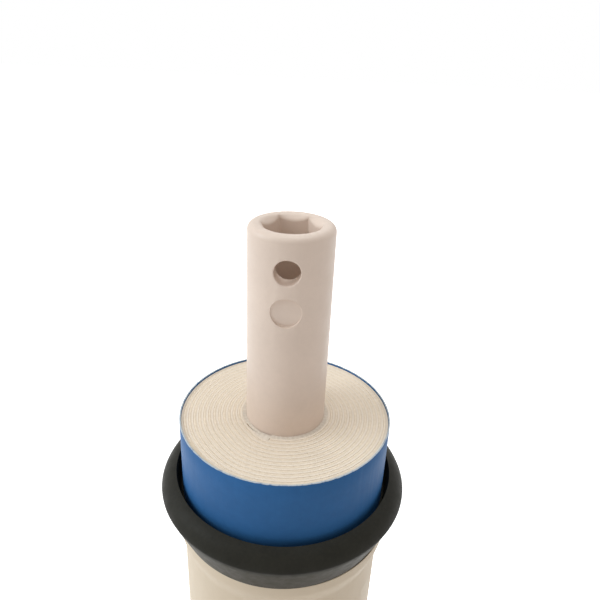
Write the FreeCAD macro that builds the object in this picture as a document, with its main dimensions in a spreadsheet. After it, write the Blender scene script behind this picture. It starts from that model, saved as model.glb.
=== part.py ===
"""Spiral-wound reverse osmosis membrane element for a small household water purifier.

The element stands upright on its outlet end: +Z runs up the permeate tube to the feed end,
and the origin is the centre of the outlet end's face. Millimetres throughout.

A leaf (two membrane plies with the permeate carrier glued between them) and a net feed spacer
are wound together round the permeate tube. Blue tape binds the roll, a brine seal grips the
tape near the feed end, and a white label wrap covers the roll below the seal.
"""
import FreeCAD, Part
import math
import os

import Sketcher

# Driving dimensions. Each row is an alias, its value and what it measures.
SIZES = [
    # the roll
    ("body_radius", 23.0, "outer radius of the taped roll"),
    ("tape_wall", 0.35, "thickness of the blue tape wrap"),
    ("tape_overhang", 0.45, "how far the tape stands past each end face of the roll"),
    ("roll_length", 232.5, "length of the wound sheets"),
    ("leaf_turns", 13, "turns of the leaf, one more than the spacer between them"),
    ("layer_gap", 0.03, "radial play between neighbouring layers"),
    ("start_angle", 256.0, "direction in degrees in which the leaf starts, from +X towards +Y"),
    ("ramp_sweep", 42.0, "degrees over which each turn climbs onto the next"),
    ("glue_tip_share", 0.2, "share of the climb that the glue bead's thin tip leaves free"),
    ("carrier_turns", 4, "turns of carrier net on the tube before the leaf starts"),
    ("carrier_wall", 0.2, "thickness of the permeate carrier net"),
    # the permeate tube
    ("tube_radius", 8.5, "outer radius of the permeate tube"),
    ("bore_radius", 5.0, "radius of the permeate bore"),
    ("outlet_radius", 5.5, "radius of the outlet socket at the bore's mouth"),
    ("outlet_depth", 20.0, "depth of the outlet socket"),
    ("outlet_stub", 22.0, "tube showing below the roll"),
    ("feed_stub", 43.5, "tube showing above the roll"),
    ("socket_flats", 10.0, "width across the flats of the hexagon socket"),
    ("socket_depth", 24.0, "depth of the hexagon socket"),
    ("socket_lead", 1.1, "height of the socket's lead-in cone"),
    ("web_wall", 4.0, "solid web between the socket and the permeate bore"),
    ("feed_rounding", 1.3, "rounding of the tube's feed end"),
    ("outlet_chamfer", 0.8, "chamfer of the tube's outlet end"),
    ("cross_hole_radius", 2.5, "radius of the pull hole across the feed end"),
    ("cross_hole_drop", 6.9, "pull hole's centre below the feed end"),
    ("mark_radius", 3.0, "radius of the round mould mark"),
    ("mark_depth", 0.75, "depth of the mould mark"),
    ("mark_drop", 15.0, "mould mark's centre below the feed end"),
    ("inlet_radius", 0.8, "radius of the permeate inlet holes"),
    ("inlet_margin", 16.0, "last inlet holes from the ends of the roll"),
    ("inlet_count", 11, "inlet holes in each row"),
    # the outlet seals
    ("ring_cord_radius", 0.9, "section radius of an outlet O-ring"),
    ("ring_squeeze_room", 0.25, "how far an O-ring stands past the tube"),
    ("groove_play", 0.25, "room on each side of an O-ring in its groove"),
    ("first_ring_height", 5.0, "lower O-ring above the outlet end"),
    ("ring_pitch", 5.5, "spacing of the two O-rings"),
    # the brine seal
    ("seal_rim_reach", 4.7, "how far the lip's rim stands out from the tape"),
    ("seal_rim_drop", 17.7, "lip's rim below the tape's upper edge"),
    ("seal_rim_land", 0.4, "height of the rim's land"),
    ("seal_mouth_reach", 1.3, "how far the lip's inner edge stands out from the tape"),
    ("seal_mouth_drop", 14.3, "lip's inner edge below the tape's upper edge"),
    ("seal_crown_radius", 5.6, "radius of the lip's rounded top"),
    ("seal_groove_depth", 4.6, "depth of the groove behind the lip"),
    ("seal_groove_floor", 0.5, "width of the groove's floor"),
    ("seal_skirt_reach", 1.25, "how far the foot of the lip's cone stands out from the tape"),
    ("seal_skirt_drop", 26.4, "foot of the lip's cone below the tape's upper edge"),
    ("seal_band_wall", 1.0, "thickness of the seal's band under the label"),
    ("seal_band_height", 2.6, "height of the band under the label"),
    ("seal_play", 0.03, "radial play between the seal and the tape"),
    # the label
    ("label_wall", 0.2, "thickness of the label wrap"),
    ("label_play", 0.03, "radial play under the label"),
    ("label_fall", 3.2, "height over which the label falls from the seal to the tape"),
    ("label_margin", 18.0, "tape showing below the label"),
]


def value(sheet, expression):
    """The number that an expression on the sheet's aliases gives."""
    result = sheet.evalExpression(expression)
    return float(getattr(result, "Value", result))


def make_sheet(doc):
    """The spreadsheet that holds the driving dimensions."""
    sheet = doc.addObject("Spreadsheet::Sheet", "sizes")
    for row, (alias, number, meaning) in enumerate(SIZES, start=1):
        sheet.set(f"A{row}", alias)
        sheet.set(f"B{row}", str(number))
        sheet.set(f"C{row}", meaning)
        sheet.setAlias(f"B{row}", alias)
    doc.recompute()
    return sheet


# Heights closer than this are the same height.
CLOSE = 0.01

# Places that several pieces share, as expressions on the sheet.
TUBE_TOP = "(sizes.outlet_stub + sizes.roll_length + sizes.feed_stub)"
ROLL_FOOT = "sizes.outlet_stub"
TAPE_FOOT = "(sizes.outlet_stub - sizes.tape_overhang)"
TAPE_TOP = "(sizes.outlet_stub + sizes.roll_length + sizes.tape_overhang)"
BORE_TOP = f"({TUBE_TOP} - sizes.socket_depth - sizes.web_wall)"
RING_CENTRE = "(sizes.tube_radius + sizes.ring_squeeze_room - sizes.ring_cord_radius)"
GROOVE_RADIUS = f"({RING_CENTRE} - sizes.ring_cord_radius)"
GROOVE_HALF = "(sizes.ring_cord_radius + sizes.groove_play)"
INLET_PITCH = "((sizes.roll_length - 2 * sizes.inlet_margin) / (sizes.inlet_count - 0.5))"
SEAL_BORE = "(sizes.body_radius + sizes.seal_play)"
SEAL_RIM = "(sizes.body_radius + sizes.seal_rim_reach)"
SEAL_SKIRT = f"({TAPE_TOP} - sizes.seal_skirt_drop)"
SEAL_BAND_RADIUS = f"({SEAL_BORE} + sizes.seal_band_wall)"
SEAL_BAND_FOOT = f"({SEAL_SKIRT} - sizes.seal_band_height)"


def origin_plane(body, role):
    """A body's own origin plane or axis, by its role."""
    return next(item for item in body.Origin.OriginFeatures if item.Role == role)


def make_body(doc, name):
    """An empty body with its label and placement set."""
    body = doc.addObject("PartDesign::Body", name)
    body.Label = name
    body.Placement = FreeCAD.Placement()
    return body


def attach_sketch(body, name, role):
    """An empty sketch on one of the body's origin planes."""
    sketch = body.newObject("Sketcher::SketchObject", name)
    sketch.AttachmentSupport = [(origin_plane(body, role), "")]
    sketch.MapMode = "FlatFace"
    return sketch


def bind(sketch, constraint, expression):
    """Add a constraint whose size is an expression on the sheet."""
    index = sketch.addConstraint(constraint)
    sketch.setExpression(f"Constraints[{index}]", expression)


def pin_point(sketch, sheet, geometry, end, across, up):
    """Hold one end of a line at two expressions, measured from the sketch's origin."""
    for kind, expression, axis in (("DistanceX", across, -2), ("DistanceY", up, -1)):
        size = value(sheet, expression)
        if size == 0.0:
            sketch.addConstraint(Sketcher.Constraint("PointOnObject", geometry, end, axis))
        else:
            bind(sketch, Sketcher.Constraint(kind, -1, 1, geometry, end, size), expression)


def draw_profile(sketch, sheet, points, crown=None):
    """Draw a closed outline through points given as pairs of expressions.

    crown, if given, is the index of the side that is an arc bulging outwards and the
    expression of its radius.
    """
    places = [FreeCAD.Vector(value(sheet, a), value(sheet, b), 0) for a, b in points]
    count = len(places)
    for index in range(count):
        first, last = places[index], places[(index + 1) % count]
        if crown and index == crown[0]:
            add_crown(sketch, first, last, value(sheet, crown[1]))
        else:
            sketch.addGeometry(Part.LineSegment(first, last), False)
    for index in range(count):
        joined = (index + 1) % count
        end = 1 if crown and index == crown[0] else 2
        start = 2 if crown and joined == crown[0] else 1
        sketch.addConstraint(Sketcher.Constraint("Coincident", index, end, joined, start))
    for index, (across, up) in enumerate(points):
        start = 2 if crown and index == crown[0] else 1
        pin_point(sketch, sheet, index, start, across, up)
    if crown:
        size = value(sheet, crown[1])
        bind(sketch, Sketcher.Constraint("Radius", crown[0], size), crown[1])


def add_crown(sketch, first, last, radius):
    """Add an arc that runs clockwise from first to last."""
    chord = last - first
    middle = (first + last) * 0.5
    inward = FreeCAD.Vector(chord.y, -chord.x, 0).normalize()
    rise = math.sqrt(radius ** 2 - chord.Length ** 2 / 4)
    centre = middle + inward * rise
    from_angle = math.atan2(last.y - centre.y, last.x - centre.x)
    to_angle = math.atan2(first.y - centre.y, first.x - centre.x)
    circle = Part.Circle(centre, FreeCAD.Vector(0, 0, 1), radius)
    sketch.addGeometry(Part.ArcOfCircle(circle, from_angle, to_angle), False)


def revolve(doc, body, sketch):
    """Turn a sketch in the XZ plane once round the Z axis."""
    turn = body.newObject("PartDesign::Revolution", f"{body.Name}_turned")
    turn.Profile = sketch
    turn.ReferenceAxis = (sketch, ["V_Axis"])
    turn.Angle = 360.0
    doc.recompute()


def make_turned(doc, sheet, name, points, crown=None):
    """A body turned from one closed outline."""
    body = make_body(doc, name)
    sketch = attach_sketch(body, f"{name}_outline", "XZ_Plane")
    draw_profile(sketch, sheet, points, crown)
    doc.recompute()
    revolve(doc, body, sketch)
    return body


def cut_and_compare(doc, feature):
    """Recompute and make sure that a cutting feature removed material."""
    before = feature.BaseFeature.Shape.Volume
    doc.recompute()
    if feature.Shape.Volume >= before:
        raise RuntimeError(f"{feature.Name} cuts nothing")


def cut_pocket(doc, body, sketch, name, depth=None):
    """Cut a sketch to a depth given as an expression, or right through where there is none."""
    pocket = body.newObject("PartDesign::Pocket", name)
    pocket.Profile = sketch
    if depth is None:
        pocket.Type = "ThroughAll"
        pocket.Midplane = True
    else:
        pocket.Type = "Length"
        pocket.setExpression("Length", depth)
    cut_and_compare(doc, pocket)
    return pocket


def add_circle(sketch, sheet, radius, up):
    """Add a circle on the axis, its radius and its centre's height given as expressions."""
    centre = FreeCAD.Vector(0, value(sheet, up), 0)
    circle = Part.Circle(centre, FreeCAD.Vector(0, 0, 1), value(sheet, radius))
    index = sketch.addGeometry(circle, False)
    bind(sketch, Sketcher.Constraint("Radius", index, circle.Radius), radius)
    pin_point(sketch, sheet, index, 3, "0", up)


def tube_outline():
    """The permeate tube's outline: stepped bore, solid feed end and the two ring grooves."""
    first = "sizes.first_ring_height"
    second = "(sizes.first_ring_height + sizes.ring_pitch)"
    grooves = []
    for height in (first, second):
        foot = f"({height} - {GROOVE_HALF})"
        head = f"({height} + {GROOVE_HALF})"
        grooves += [
            ("sizes.tube_radius", foot),
            (GROOVE_RADIUS, foot),
            (GROOVE_RADIUS, head),
            ("sizes.tube_radius", head),
        ]
    return [
        ("sizes.outlet_radius", "0"),
        ("sizes.tube_radius - sizes.outlet_chamfer", "0"),
        ("sizes.tube_radius", "sizes.outlet_chamfer"),
        *grooves,
        ("sizes.tube_radius", TUBE_TOP),
        ("0", TUBE_TOP),
        ("0", BORE_TOP),
        ("sizes.bore_radius", BORE_TOP),
        ("sizes.bore_radius", "sizes.outlet_depth"),
        ("sizes.outlet_radius", "sizes.outlet_depth"),
    ]


def round_feed_end(doc, sheet, body):
    """Round the outer edge of the tube's feed end."""
    top = value(sheet, TUBE_TOP)
    turned = body.Tip
    names = [
        f"Edge{number}"
        for number, edge in enumerate(turned.Shape.Edges, start=1)
        if edge.Closed and abs(edge.BoundBox.ZMin - top) < CLOSE
    ]
    fillet = body.newObject("PartDesign::Fillet", "feed_end_rounding")
    fillet.Base = (turned, names)
    fillet.setExpression("Radius", "sizes.feed_rounding")
    doc.recompute()


def cut_socket(doc, sheet, body):
    """Cut the hexagon socket, corners on the X axis, and its lead-in cone."""
    plan = attach_sketch(body, "socket_plan", "XY_Plane")
    plan.setExpression("AttachmentOffset.Base.z", TUBE_TOP)
    corner_reach = "sizes.socket_flats / sqrt(3)"
    corner = value(sheet, corner_reach)
    ring = [
        FreeCAD.Vector(corner * math.cos(math.radians(60 * k)),
                       corner * math.sin(math.radians(60 * k)), 0)
        for k in range(6)
    ]
    for k in range(6):
        plan.addGeometry(Part.LineSegment(ring[k], ring[(k + 1) % 6]), False)
    guide = plan.addGeometry(Part.Circle(FreeCAD.Vector(), FreeCAD.Vector(0, 0, 1), corner), True)
    for k in range(6):
        plan.addConstraint(Sketcher.Constraint("Coincident", k, 2, (k + 1) % 6, 1))
        plan.addConstraint(Sketcher.Constraint("PointOnObject", k, 1, guide))
    for k in range(1, 6):
        plan.addConstraint(Sketcher.Constraint("Equal", 0, k))
    plan.addConstraint(Sketcher.Constraint("Coincident", guide, 3, -1, 1))
    plan.addConstraint(Sketcher.Constraint("PointOnObject", 0, 1, -1))
    bind(plan, Sketcher.Constraint("Radius", guide, corner), corner_reach)
    doc.recompute()
    cut_pocket(doc, body, plan, "hexagon_socket", depth="sizes.socket_depth")
    lead = attach_sketch(body, "socket_lead_outline", "XZ_Plane")
    mouth = "(sizes.socket_flats / 2 + sizes.socket_lead)"
    draw_profile(lead, sheet, [
        ("0", f"{TUBE_TOP} - sizes.socket_lead"),
        ("sizes.socket_flats / 2", f"{TUBE_TOP} - sizes.socket_lead"),
        (mouth, TUBE_TOP),
        ("0", TUBE_TOP),
    ])
    doc.recompute()
    groove = body.newObject("PartDesign::Groove", "socket_lead")
    groove.Profile = lead
    groove.ReferenceAxis = (lead, ["V_Axis"])
    groove.Angle = 360.0
    cut_and_compare(doc, groove)


def cut_cross_hole(doc, sheet, body):
    """Cut the pull hole through both walls and sink the mould mark in the front wall."""
    hole = attach_sketch(body, "cross_hole_circle", "XZ_Plane")
    add_circle(hole, sheet, "sizes.cross_hole_radius", f"{TUBE_TOP} - sizes.cross_hole_drop")
    doc.recompute()
    cut_pocket(doc, body, hole, "cross_hole")
    mark = attach_sketch(body, "mark_circle", "XZ_Plane")
    mark.setExpression("AttachmentOffset.Base.z", "sizes.tube_radius")
    add_circle(mark, sheet, "sizes.mark_radius", f"{TUBE_TOP} - sizes.mark_drop")
    doc.recompute()
    cut_pocket(doc, body, mark, "mould_mark", depth="sizes.mark_depth")


def cut_inlets(doc, sheet, body):
    """Cut the permeate inlets: rows of holes under the roll, alternately front and side."""
    for row, (role, start) in enumerate((("XZ_Plane", "0"), ("YZ_Plane", f"{INLET_PITCH} / 2"))):
        sketch = attach_sketch(body, f"inlet_circle_{row}", role)
        height = f"{ROLL_FOOT} + sizes.inlet_margin + {start}"
        add_circle(sketch, sheet, "sizes.inlet_radius", height)
        doc.recompute()
        pocket = cut_pocket(doc, body, sketch, f"inlet_{row}")
        pattern = body.newObject("PartDesign::LinearPattern", f"inlet_row_{row}")
        pattern.Originals = [pocket]
        pattern.Direction = (sketch, ["V_Axis"])
        pattern.Mode = "Spacing"
        pattern.setExpression("Offset", INLET_PITCH)
        pattern.setExpression("Occurrences", "sizes.inlet_count")
        body.Tip = pattern
        doc.recompute()
        if pattern.Shape.Volume >= pocket.Shape.Volume:
            raise RuntimeError(f"{pattern.Name} adds no holes")


def make_permeate_tube(doc, sheet):
    """The one-piece permeate tube, closed by a web between its socket and its bore."""
    body = make_turned(doc, sheet, "permeate_tube", tube_outline())
    round_feed_end(doc, sheet, body)
    cut_socket(doc, sheet, body)
    cut_cross_hole(doc, sheet, body)
    cut_inlets(doc, sheet, body)
    return body


def make_outlet_ring(doc, sheet, name, height):
    """One O-ring, seated in its groove near the outlet end."""
    ring = doc.addObject("Part::Torus", name)
    ring.Label = name
    ring.setExpression("Radius1", RING_CENTRE)
    ring.setExpression("Radius2", "sizes.ring_cord_radius")
    ring.setExpression("Placement.Base.z", height)
    return ring


def make_tape_wrap(doc, sheet):
    """The blue tape that binds the roll and stands a little past both its ends."""
    inside = "sizes.body_radius - sizes.tape_wall"
    return make_turned(doc, sheet, "tape_wrap", [
        (inside, TAPE_FOOT),
        ("sizes.body_radius", TAPE_FOOT),
        ("sizes.body_radius", TAPE_TOP),
        (inside, TAPE_TOP),
    ])


def make_brine_seal(doc, sheet):
    """The rubber brine seal: a band that grips the tape and a lip flared over a groove."""
    mouth = f"({TAPE_TOP} - sizes.seal_mouth_drop)"
    rim = f"({TAPE_TOP} - sizes.seal_rim_drop)"
    floor = f"({mouth} - sizes.seal_groove_depth)"
    return make_turned(doc, sheet, "brine_seal", [
        (SEAL_BORE, SEAL_BAND_FOOT),
        (SEAL_BAND_RADIUS, SEAL_BAND_FOOT),
        (SEAL_BAND_RADIUS, SEAL_SKIRT),
        ("sizes.body_radius + sizes.seal_skirt_reach", SEAL_SKIRT),
        (SEAL_RIM, f"{rim} - sizes.seal_rim_land"),
        (SEAL_RIM, rim),
        ("sizes.body_radius + sizes.seal_mouth_reach", mouth),
        (f"{SEAL_BORE} + sizes.seal_groove_floor", floor),
        (SEAL_BORE, floor),
    ], crown=(5, "sizes.seal_crown_radius"))


def make_label_wrap(doc, sheet):
    """The white label wrap, lapped over the seal's band and falling onto the tape."""
    rest = "(sizes.body_radius + sizes.label_play)"
    lap = f"({SEAL_BAND_RADIUS} + sizes.label_play)"
    top = f"({SEAL_SKIRT} - sizes.label_play)"
    bend = f"({SEAL_BAND_FOOT} - sizes.label_play)"
    foot = f"({bend} - sizes.label_fall)"
    hem = f"({ROLL_FOOT} + sizes.label_margin)"
    wall = "sizes.label_wall"
    return make_turned(doc, sheet, "label_wrap", [
        (rest, hem),
        (f"{rest} + {wall}", hem),
        (f"{rest} + {wall}", foot),
        (f"{lap} + {wall}", bend),
        (f"{lap} + {wall}", top),
        (lap, top),
        (lap, bend),
        (rest, foot),
    ])


class Winding:
    """The path of a sheet wound round the tube.

    Each turn is a true arc about the tube's axis, and in one sector, just before the leaf's
    starting edge, it climbs by the pitch onto the turn inside it.
    """

    def __init__(self, sheet, pitch):
        self.start = math.radians(sheet.start_angle)
        self.ramp = math.radians(sheet.ramp_sweep)
        self.pitch = pitch

    def place(self, radius, angle):
        """A point at a radius and an angle past the starting edge."""
        turned = self.start + angle
        return FreeCAD.Vector(radius * math.cos(turned), radius * math.sin(turned), 0)

    def heading(self, angle):
        """The direction in which the winding runs at an angle past the starting edge."""
        turned = self.start + angle
        return FreeCAD.Vector(-math.sin(turned), math.cos(turned), 0)

    def climb(self, radius):
        """The two tangent arcs that lift a layer from one turn to the next."""
        before = 2 * math.pi - self.ramp
        first = self.place(radius, before)
        last = self.place(radius + self.pitch, 2 * math.pi)
        leave, arrive = self.heading(before), self.heading(2 * math.pi)
        span, both = last - first, leave + arrive
        spread = 2 * (1 - leave.dot(arrive))
        along = span.dot(both)
        reach = (math.sqrt(along ** 2 + spread * span.dot(span)) - along) / spread
        joint = (first + leave * reach + last - arrive * reach) * 0.5
        return [tangent_arc(first, leave, joint), tangent_arc(last, arrive, joint)]

    def edges(self, radius, turns):
        """The edges of one layer, from its starting edge out, over whole turns."""
        flat = 2 * math.pi - self.ramp
        found = []
        for turn in range(turns):
            here = radius + turn * self.pitch
            arc = Part.Arc(self.place(here, 0), self.place(here, flat / 2), self.place(here, flat))
            found.append(arc.toShape())
            if turn < turns - 1:
                found += self.climb(here)
        return found


def tangent_arc(point, heading, end):
    """The arc from point to end that leaves point along its heading."""
    side = FreeCAD.Vector(-heading.y, heading.x, 0)
    chord = end - point
    centre = point + side * (chord.dot(chord) / (2 * side.dot(chord)))
    radius = (point - centre).Length
    middle = centre + ((point + end) * 0.5 - centre).normalize() * radius
    return Part.Arc(point, middle, end).toShape()


def wound_sheet(sheet, pitch, radius, wall, turns):
    """A sheet of even thickness wound over whole turns and as long as the roll."""
    winding = Winding(sheet, pitch)
    last = 2 * math.pi - winding.ramp
    reach = radius + (turns - 1) * pitch
    inner = winding.edges(radius, turns)
    outer = winding.edges(radius + wall, turns)
    ends = [
        Part.makeLine(winding.place(radius, 0), winding.place(radius + wall, 0)),
        Part.makeLine(winding.place(reach, last), winding.place(reach + wall, last)),
    ]
    section = Part.Face(Part.Wire(Part.__sortEdges__(inner + outer + ends)))
    section.translate(FreeCAD.Vector(0, 0, sheet.outlet_stub))
    return section.extrude(FreeCAD.Vector(0, 0, sheet.roll_length))


def add_wound(doc, name, shape):
    """Put a wound shape in the document under its label."""
    feature = doc.addObject("Part::Feature", name)
    feature.Label = name
    feature.Shape = shape
    feature.Placement = FreeCAD.Placement()
    return feature


def layer_plan(sheet):
    """Radii and walls of the wound layers, from the tube out to the tape."""
    gap = float(sheet.layer_gap)
    carrier_pitch = sheet.carrier_wall + gap
    carrier_start = sheet.tube_radius + gap
    leaf_start = carrier_start + sheet.carrier_turns * carrier_pitch
    roll_radius = sheet.body_radius - sheet.tape_wall - gap
    layers = 2 * sheet.leaf_turns - 1
    sheet_wall = (roll_radius - leaf_start + gap) / layers - gap
    pitch = 2 * (sheet_wall + gap)
    return {
        "carrier_start": carrier_start,
        "carrier_pitch": carrier_pitch,
        "leaf_start": leaf_start,
        "roll_radius": roll_radius,
        "pitch": pitch,
        "sheet_wall": sheet_wall,
        "spacer_start": leaf_start + sheet_wall + gap,
    }


def make_carrier_wrap(doc, sheet, plan):
    """The carrier net's first turns, which lead the permeate into the tube's inlets."""
    turns = int(sheet.carrier_turns)
    shape = wound_sheet(sheet, plan["carrier_pitch"], plan["carrier_start"],
                        float(sheet.carrier_wall), turns)
    return add_wound(doc, "carrier_core_wrap", shape)


def make_membrane_leaf(doc, sheet, plan):
    """The leaf: two membrane plies glued round the carrier, which can't come apart again."""
    shape = wound_sheet(sheet, plan["pitch"], plan["leaf_start"], plan["sheet_wall"],
                        int(sheet.leaf_turns))
    return add_wound(doc, "membrane_leaf", shape)


def make_feed_spacer(doc, sheet, plan):
    """The net that keeps the leaf's turns apart and lets the feed water through."""
    shape = wound_sheet(sheet, plan["pitch"], plan["spacer_start"], plan["sheet_wall"],
                        int(sheet.leaf_turns) - 1)
    return add_wound(doc, "feed_spacer", shape)


def sector(axis, edges):
    """The face between the axis and a run of edges seen from it."""
    wire = Part.Wire(Part.__sortEdges__(edges))
    first, last = wire.OrderedVertexes[0].Point, wire.OrderedVertexes[-1].Point
    return Part.Face(Part.Wire([Part.makeLine(axis, first), *wire.Edges, Part.makeLine(last, axis)]))


def make_end_glue(doc, sheet, plan):
    """The bead of glue that closes the leaf's outer end and fills the last climb."""
    winding = Winding(sheet, plan["pitch"])
    gap = float(sheet.layer_gap)
    crest = plan["roll_radius"]
    root = crest - plan["pitch"] + gap
    first = 2 * math.pi - winding.ramp + gap / root
    last = 2 * math.pi - winding.ramp * sheet.glue_tip_share
    axis = FreeCAD.Vector()
    rim = Part.Arc(winding.place(crest, first), winding.place(crest, (first + last) / 2),
                   winding.place(crest, last)).toShape()
    section = sector(axis, [rim]).cut(sector(axis, winding.climb(root)))
    section.translate(FreeCAD.Vector(0, 0, sheet.outlet_stub))
    bead = section.Faces[0].extrude(FreeCAD.Vector(0, 0, sheet.roll_length))
    return add_wound(doc, "end_glue_bead", bead)


def make_pieces(doc, sheet):
    """Every piece of the element, from the tube out."""
    plan = layer_plan(sheet)
    second_ring = "sizes.first_ring_height + sizes.ring_pitch"
    return [
        make_permeate_tube(doc, sheet),
        make_outlet_ring(doc, sheet, "outlet_ring_lower", "sizes.first_ring_height"),
        make_outlet_ring(doc, sheet, "outlet_ring_upper", second_ring),
        make_carrier_wrap(doc, sheet, plan),
        make_membrane_leaf(doc, sheet, plan),
        make_feed_spacer(doc, sheet, plan),
        make_end_glue(doc, sheet, plan),
        make_tape_wrap(doc, sheet),
        make_brine_seal(doc, sheet),
        make_label_wrap(doc, sheet),
    ]


def check(doc, pieces):
    """Stop if an object failed or a piece is not one valid solid."""
    for item in doc.Objects:
        if {"Invalid", "Error"} & set(item.State):
            raise RuntimeError(f"{item.Name} failed: {item.State}")
    for piece in pieces:
        shape = piece.Shape
        if shape.isNull() or not shape.isValid() or len(shape.Solids) != 1:
            raise RuntimeError(f"{piece.Label} is not one valid solid")


def main():
    doc = FreeCAD.newDocument("membrane_element")
    sheet = make_sheet(doc)
    pieces = make_pieces(doc, sheet)
    doc.recompute()
    check(doc, pieces)
    os.makedirs("parts", exist_ok=True)
    for piece in pieces:
        piece.Shape.exportStep(os.path.join("parts", f"{piece.Label}.step"))
        print(piece.Label, round(piece.Shape.Volume, 1), "mm3")


main()
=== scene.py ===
"""Finish and stage the spiral-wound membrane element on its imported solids.

The element stands on its outlet end with +Z up to the feed end. Lengths are in metres. Each
operator dresses one piece or a group of like pieces, and the last one sets the stage.
"""

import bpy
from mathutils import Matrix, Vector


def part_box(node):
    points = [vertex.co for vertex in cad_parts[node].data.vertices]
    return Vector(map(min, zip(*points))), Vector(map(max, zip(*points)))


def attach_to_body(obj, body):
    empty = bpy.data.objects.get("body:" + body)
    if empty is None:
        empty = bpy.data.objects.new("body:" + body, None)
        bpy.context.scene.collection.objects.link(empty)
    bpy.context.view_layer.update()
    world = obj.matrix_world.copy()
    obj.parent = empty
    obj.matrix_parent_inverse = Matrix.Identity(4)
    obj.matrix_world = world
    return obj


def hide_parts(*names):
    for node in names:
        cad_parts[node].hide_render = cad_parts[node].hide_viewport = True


bl_info = {
    "name": "Membrane element",
    "version": (1, 0, 0),
    "blender": (4, 5, 0),
    "location": "View3D > Sidebar > Membrane",
    "description": "Finishes the pieces of a spiral-wound membrane element and sets its stage",
    "category": "Object",
}

import math

import bmesh
import bpy
from bpy.props import FloatProperty, FloatVectorProperty, IntProperty, PointerProperty
from mathutils import Matrix, Vector

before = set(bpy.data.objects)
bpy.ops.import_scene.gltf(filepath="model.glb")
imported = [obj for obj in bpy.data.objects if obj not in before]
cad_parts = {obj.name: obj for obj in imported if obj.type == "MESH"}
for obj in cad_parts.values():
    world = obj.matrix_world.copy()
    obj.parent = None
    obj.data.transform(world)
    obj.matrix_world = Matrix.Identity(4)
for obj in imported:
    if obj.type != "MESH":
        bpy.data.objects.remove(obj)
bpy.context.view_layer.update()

MM = 0.001
WELD = 1e-6
UP = (0.0, 0.0, 1.0)
AXIS = (0.0, 0.0, 0.0)
TUBE_SIDES, TAPE_SIDES, WRAP_SIDES = 144, 288, 240
FLOOR_WIDTH = 8.0
# Lamps: name, place above the tape's upper edge, width, and the setting that holds the power.
LAMPS = (("key_lamp", (-1.25, -0.2, 0.7), 1.0, "key"), ("top_lamp", (0.15, 0.25, 1.5), 1.2, "top"))


# ---------------------------------------------------------------- sizes and colours


def length(name, meaning, default):
    """A length property, in metres."""
    return FloatProperty(name=name, description=meaning, default=default, min=0.0,
                         subtype="DISTANCE", unit="LENGTH", precision=5)


def turned(name, meaning, degrees):
    """An angle property, given in degrees."""
    return FloatProperty(name=name, description=meaning, default=math.radians(degrees),
                         subtype="ANGLE", unit="ROTATION")


def share(name, meaning, default):
    """A property from 0 to 1."""
    return FloatProperty(name=name, description=meaning, default=default, min=0.0, max=1.0,
                         subtype="FACTOR")


def tint(name, meaning, colour):
    """A colour property, in linear light."""
    return FloatVectorProperty(name=name, description=meaning, default=colour, min=0.0, max=1.0,
                               size=3, subtype="COLOR")


class TubeSettings(bpy.types.PropertyGroup):
    """Sizes and colours of the permeate tube and its O-rings."""
    bore: length("Bore", "Radius of the permeate bore", 5.0 * MM)
    outlet: length("Outlet", "Radius of the outlet socket", 5.5 * MM)
    outlet_depth: length("Outlet depth", "Depth of the outlet socket", 20.0 * MM)
    web_foot: length("Web foot", "Web's lower face below the feed end", 28.0 * MM)
    flats: length("Flats", "Width across the flats of the hexagon socket", 10.0 * MM)
    socket: length("Socket depth", "Depth of the hexagon socket", 24.0 * MM)
    lead: length("Lead-in", "Height of the socket's lead-in cone", 1.1 * MM)
    rounding: length("Feed rounding", "Rounding of the tube's feed end", 1.3 * MM)
    chamfer: length("Chamfer", "Chamfer of the outlet end", 0.8 * MM)
    groove: length("Groove half width", "Half the width of an O-ring's groove", 1.15 * MM)
    groove_foot: length("Groove radius", "Radius of the groove's foot", 6.95 * MM)
    hole: length("Pull hole", "Radius of the pull hole", 2.5 * MM)
    hole_drop: length("Pull hole drop", "Pull hole below the feed end", 6.9 * MM)
    mark: length("Mark", "Radius of the bare mould mark", 3.0 * MM)
    mark_depth: length("Mark depth", "Depth of the mould mark", 0.75 * MM)
    mark_drop: length("Mark drop", "Mould mark below the feed end", 15.0 * MM)
    inlet: length("Inlet", "Radius of the permeate inlets", 0.8 * MM)
    inlet_margin: length("Inlet margin", "Last inlets from the roll's ends", 16.0 * MM)
    inlets: IntProperty(name="Inlets", description="Inlets in each row", default=11, min=1)
    edge: length("Edge rounding", "Largest rounding of the tube's edges", 0.4 * MM)
    plastic: tint("Plastic", "Off-white of the moulded plastic", (0.765, 0.635, 0.545))
    gloss: share("Roughness", "Roughness of the moulded plastic", 0.42)
    rubber: tint("O-ring rubber", "Black of the O-rings", (0.022, 0.022, 0.023))


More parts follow.
